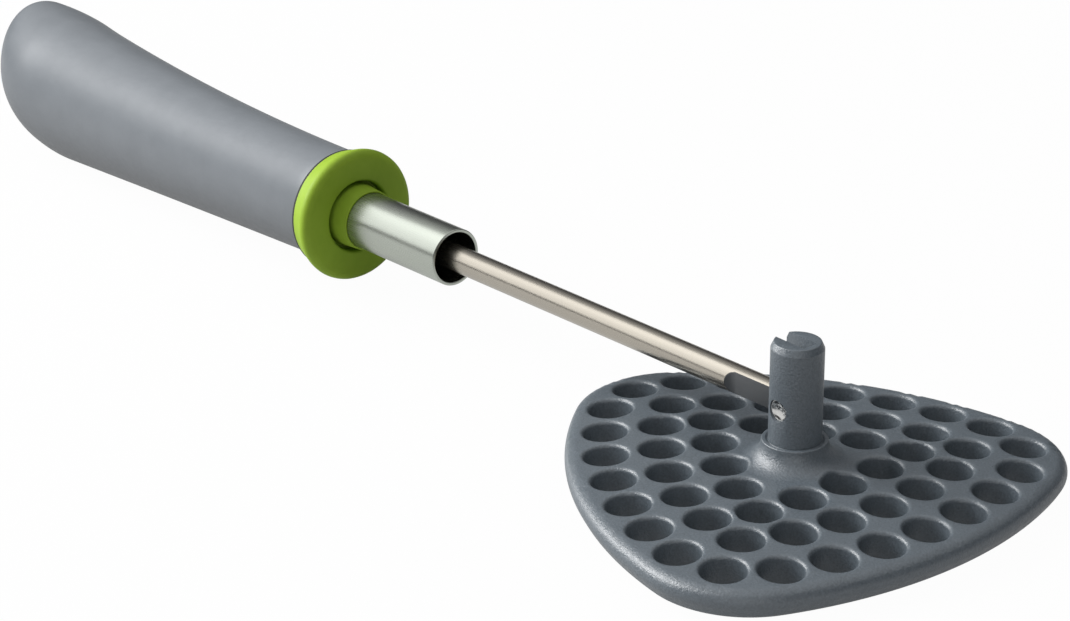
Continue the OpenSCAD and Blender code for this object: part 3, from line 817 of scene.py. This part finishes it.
class Finish:
    """A node material: a Principled shader whose colour, roughness and bump come from noise."""

    def __init__(self, name, roughness, metallic=0.0, sockets=None):
        self.material = bpy.data.materials.new(name)
        self.material.use_nodes = True
        self.tree = self.material.node_tree
        self.shader = self.tree.nodes["Principled BSDF"]
        self.shader.inputs["Metallic"].default_value = metallic
        self.shader.inputs["Roughness"].default_value = roughness
        for key, value in (sockets or {}).items():
            self.shader.inputs[key].default_value = value
        self.coords = self.node("ShaderNodeTexCoord").outputs["Object"]

    def node(self, kind, **settings):
        node = self.tree.nodes.new(kind)
        for key, value in settings.items():
            setattr(node, key, value)
        return node

    def link(self, source, target):
        self.tree.links.new(source, target)

    def noise(self, grain_mm, stretch=(1, 1, 1), detail=2.0):
        """Noise with grains of a size in millimetres, drawn out along an axis by a stretch."""
        mapping = self.node("ShaderNodeMapping")
        mapping.inputs["Scale"].default_value = [1 / (MM * grain_mm * k) for k in stretch]
        texture = self.node("ShaderNodeTexNoise")
        texture.inputs["Scale"].default_value = 1
        texture.inputs["Detail"].default_value = detail
        self.link(self.coords, mapping.inputs["Vector"])
        self.link(mapping.outputs["Vector"], texture.inputs["Vector"])
        return texture.outputs["Fac"]

    def spread(self, value, low, high):
        """A value's middle range spread between two numbers."""
        node = self.node("ShaderNodeMapRange")
        node.inputs["From Min"].default_value = NOISE_LOW
        node.inputs["From Max"].default_value = NOISE_HIGH
        node.inputs["To Min"].default_value = low
        node.inputs["To Max"].default_value = high
        self.link(value, node.inputs["Value"])
        return node.outputs["Result"]

    def colour(self, value, dark, light):
        """The base colour, between two colours over a value's middle range."""
        ramp = self.node("ShaderNodeValToRGB")
        for stop, place, colour in zip(ramp.color_ramp.elements, (NOISE_LOW, NOISE_HIGH), (dark, light)):
            stop.position = place
            stop.color = colour
        self.link(value, ramp.inputs["Fac"])
        self.link(ramp.outputs["Color"], self.shader.inputs["Base Color"])

    def roughness(self, value, low, high):
        self.link(self.spread(value, low, high), self.shader.inputs["Roughness"])

    def bump(self, value, height_mm, strength):
        bump = self.node("ShaderNodeBump")
        bump.inputs["Strength"].default_value = strength
        bump.inputs["Distance"].default_value = height_mm * MM
        self.link(value, bump.inputs["Height"])
        self.link(bump.outputs["Normal"], self.shader.inputs["Normal"])


def head_plastic():
    """Slate grey plastic with a fine moulded grain."""
    look = Finish("head_plastic", roughness=0.4, sockets={"Specular IOR Level": 0.8})
    look.colour(look.noise(0.5, detail=3), linear(70, 78, 84), linear(84, 92, 99))
    look.roughness(look.noise(1.5), low=0.34, high=0.46)
    look.bump(look.noise(0.45, detail=3), height_mm=0.11, strength=1.0)
    return look.material


def steel(name, tint, roughness):
    """Drawn steel, with streaks along its length."""
    look = Finish(name, roughness, metallic=1.0)
    streaks = look.noise(STREAK_GRAIN, stretch=(STREAK_LEN, 1, 1))
    look.colour(streaks, linear(*[c * STREAK_DARK for c in tint]), linear(*tint))
    look.roughness(streaks, roughness - STREAK_ROUGH, roughness + STREAK_ROUGH)
    return look.material


def turned_steel():
    """Steel with the round grain of a turned face, which mirrors light as bright sectors."""
    look = Finish("rivet_steel", roughness=0.14, metallic=1.0, sockets={"Anisotropic": 0.85})
    grain = look.noise(0.5)
    look.colour(grain, linear(206, 206, 204), linear(216, 216, 214))
    look.roughness(grain, low=0.12, high=0.16)
    tangent = look.node("ShaderNodeTangent", direction_type="RADIAL", axis="Y")
    look.link(tangent.outputs["Tangent"], look.shader.inputs["Tangent"])
    return look.material


def lime_plastic():
    """Smooth lime green plastic of the collar."""
    look = Finish("lime_plastic", roughness=0.54, sockets={"Specular IOR Level": 0.15})
    look.colour(look.noise(2.5, detail=3), linear(134, 163, 48), linear(139, 168, 52))
    look.roughness(look.noise(0.6), low=0.5, high=0.58)
    look.bump(look.noise(0.25), height_mm=0.01, strength=0.4)
    return look.material


def soft_grip():
    """Soft grey rubber of the grip."""
    look = Finish("soft_grip", roughness=0.45, sockets={"Specular IOR Level": 0.8})
    look.colour(look.noise(6, detail=4), linear(84, 88, 92), linear(88, 92, 96))
    look.roughness(look.noise(1.2), low=0.42, high=0.48)
    look.bump(look.noise(0.18, detail=3), height_mm=0.012, strength=0.35)
    return look.material


def plain_moulding(name, tint, roughness):
    """Plain plastic or rubber of one tint."""
    look = Finish(name, roughness)
    look.colour(look.noise(0.8), linear(*[c * MOTTLE_DARK for c in tint]), linear(*tint))
    look.bump(look.noise(0.4), height_mm=0.02, strength=0.4)
    return look.material


# Stage, lights and camera

def studio_floor():
    """A pale floor that is white to the eye and still takes a faint shadow of the object."""
    half = FLOOR_HALF * MM
    mesh = bpy.data.meshes.new("studio_floor")
    mesh.from_pydata([(-half, -half, 0), (half, -half, 0), (half, half, 0), (-half, half, 0)],
                     [], [(0, 1, 2, 3)])
    floor = bpy.data.objects.new("studio_floor", mesh)
    floor.location.z = -FLOOR_DROP * MM
    bpy.context.scene.collection.objects.link(floor)
    material = bpy.data.materials.new("studio_floor")
    material.use_nodes = True
    tree = material.node_tree
    tree.nodes.clear()
    output = tree.nodes.new("ShaderNodeOutputMaterial")
    mix = tree.nodes.new("ShaderNodeMixShader")
    diffuse = tree.nodes.new("ShaderNodeBsdfDiffuse")
    diffuse.inputs["Color"].default_value = (FLOOR_TINT, FLOOR_TINT, FLOOR_TINT, 1)
    white = tree.nodes.new("ShaderNodeEmission")
    tree.links.new(background_rays(tree), mix.inputs["Fac"])
    tree.links.new(diffuse.outputs[0], mix.inputs[1])
    tree.links.new(white.outputs[0], mix.inputs[2])
    tree.links.new(mix.outputs[0], output.inputs["Surface"])
    mesh.materials.append(material)


def background_rays(tree):
    """How white the floor is to the rays that see it: camera, mirror and glass rays."""
    path = tree.nodes.new("ShaderNodeLightPath")
    value = None
    for name, share in (("Is Camera Ray", FLOOR_SEEN), ("Is Glossy Ray", FLOOR_MIRRORED),
                        ("Is Transmission Ray", FLOOR_MIRRORED)):
        part = tree.nodes.new("ShaderNodeMath")
        part.operation = "MULTIPLY"
        part.inputs[1].default_value = share
        tree.links.new(path.outputs[name], part.inputs[0])
        if value is None:
            value = part.outputs[0]
            continue
        most = tree.nodes.new("ShaderNodeMath")
        most.operation = "MAXIMUM"
        tree.links.new(value, most.inputs[0])
        tree.links.new(part.outputs[0], most.inputs[1])
        value = most.outputs[0]
    return value


def studio_world():
    """A bright dome over a darker horizon, which the eye sees as plain white."""
    world = bpy.data.worlds.new("studio")
    bpy.context.scene.world = world
    world.use_nodes = True
    tree = world.node_tree
    tree.nodes.clear()
    output = tree.nodes.new("ShaderNodeOutputWorld")
    mix = tree.nodes.new("ShaderNodeMixShader")
    dome = tree.nodes.new("ShaderNodeBackground")
    dome.inputs["Strength"].default_value = DOME_LIGHT
    white = tree.nodes.new("ShaderNodeBackground")
    coords = tree.nodes.new("ShaderNodeTexCoord")
    split = tree.nodes.new("ShaderNodeSeparateXYZ")
    ramp = tree.nodes.new("ShaderNodeValToRGB")
    stops = ramp.color_ramp.elements
    stops.new(0.5)
    for stop, (place, colour) in zip(stops, DOME_STOPS):
        stop.position = place
        stop.color = colour
    tree.links.new(coords.outputs["Generated"], split.inputs[0])
    tree.links.new(split.outputs["Z"], ramp.inputs["Fac"])
    tree.links.new(ramp.outputs["Color"], dome.inputs["Color"])
    path = tree.nodes.new("ShaderNodeLightPath")
    tree.links.new(path.outputs["Is Camera Ray"], mix.inputs["Fac"])
    tree.links.new(dome.outputs[0], mix.inputs[1])
    tree.links.new(white.outputs[0], mix.inputs[2])
    tree.links.new(mix.outputs[0], output.inputs["Surface"])


def direction(azimuth, elevation):
    """Unit vector towards an azimuth and elevation in degrees."""
    a, e = math.radians(azimuth), math.radians(elevation)
    return Vector((math.cos(a) * math.cos(e), math.sin(a) * math.cos(e), math.sin(e)))


def area_light(name, azimuth, elevation, distance, size, power):
    """A soft box that looks at the middle of the object."""
    data = bpy.data.lights.new(name, "AREA")
    data.shape = "RECTANGLE"
    data.size, data.size_y = size[0] * MM, size[1] * MM
    data.energy = power
    lamp = bpy.data.objects.new(name, data)
    bpy.context.scene.collection.objects.link(lamp)
    middle = (Vector(cad_box[0]) + Vector(cad_box[1])) / 2
    lamp.location = middle + direction(azimuth, elevation) * distance * MM
    lamp.rotation_euler = direction(azimuth, elevation).to_track_quat("Z", "Y").to_euler()
    return lamp


def piece_group(name, pieces):
    """A collection outside the scene that tells a lamp which pieces it lights."""
    group = bpy.data.collections.new(name)
    for piece in pieces:
        group.objects.link(piece)
    return group


def photo_camera():
    """The camera that sees the object as the photograph does."""
    data = bpy.data.cameras.new("photo_camera")
    data.lens = CAMERA_LENS
    data.sensor_width = SENSOR_W
    data.sensor_fit = "HORIZONTAL"
    data.clip_start, data.clip_end = CLIP_NEAR * MM, CLIP_FAR * MM
    camera = bpy.data.objects.new("photo_camera", data)
    bpy.context.scene.collection.objects.link(camera)
    way = direction(CAMERA_AZIMUTH, CAMERA_ELEVATION)
    camera.location = (CAMERA_AIM + way * CAMERA_DISTANCE) * MM
    camera.rotation_euler = way.to_track_quat("Z", "Y").to_euler()
    bpy.context.scene.camera = camera


# The masher

photo_camera()
studio_floor()
studio_world()
bpy.context.scene.view_settings.view_transform = "Standard"

HEAD = head_plastic()
BAR_STEEL = steel("bar_steel", (180, 174, 163), roughness=0.27)
TONGUE_STEEL = steel("tongue_steel", (120, 122, 124), roughness=0.3)
SLEEVE_STEEL = steel("sleeve_steel", (180, 185, 176), roughness=0.28)
RIVET_STEEL = turned_steel()
LIME = lime_plastic()
# Painted shade: a near-black lime for the collar's back land, standing in for the shadow in the gap
# between collar and handle.
LIME_PAINTED_SHADE = plain_moulding("lime_painted_shade", (16, 19, 8), roughness=0.8)
GRIP = soft_grip()
CORE = plain_moulding("core_plastic", (96, 100, 103), roughness=0.45)
RING = plain_moulding("ring_rubber", (34, 35, 37), roughness=0.6)

plate = dress(mashing_plate(), "head", HEAD, "mashing_head")
post = dress(hinge_post(), "head", HEAD, "mashing_head")
rivet = dress(pivot_rivet(), "head", RIVET_STEEL, "pivot_rivet")
rod = dress(bar(), "handle", BAR_STEEL, "shaft", BAR_SHARP_DEG)
finish_part(rod, TONGUE_STEEL, on_flats)
tube = dress(lock_sleeve(), "sleeve", SLEEVE_STEEL, "lock_sleeve")
ring = dress(slide_collar(), "sleeve", LIME, "slide_collar")
# The collar's back land gets a painted shade of the gap between collar and handle.
finish_part(ring, LIME_PAINTED_SHADE, on_land)
skin = dress(grip(), "handle", GRIP, "grip_skin", GRIP_SHARP_DEG)

for node, finish in (("handle_core", CORE), ("anchor_pin", RIVET_STEEL),
                     ("guide_bush", CORE), ("drag_ring", RING)):
    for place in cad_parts[node].material_slots:
        place.material = finish

lit_apart = {"metals": [rivet, rod, tube], "head_mouldings": [plate, post],
             "grip_mouldings": [skin], "collar_mouldings": [ring]}
groups = {name: piece_group(name, pieces) for name, pieces in lit_apart.items()}
groups["the_rest"] = piece_group("the_rest", [
    o for o in bpy.context.scene.objects if o.type == "MESH" and o not in (rivet, rod, tube, skin, ring)])
for *lamp_values, group_name in LAMPS:
    lamp = area_light(*lamp_values)
    lamp.light_linking.receiver_collection = groups[group_name]

bpy.context.view_layer.update()
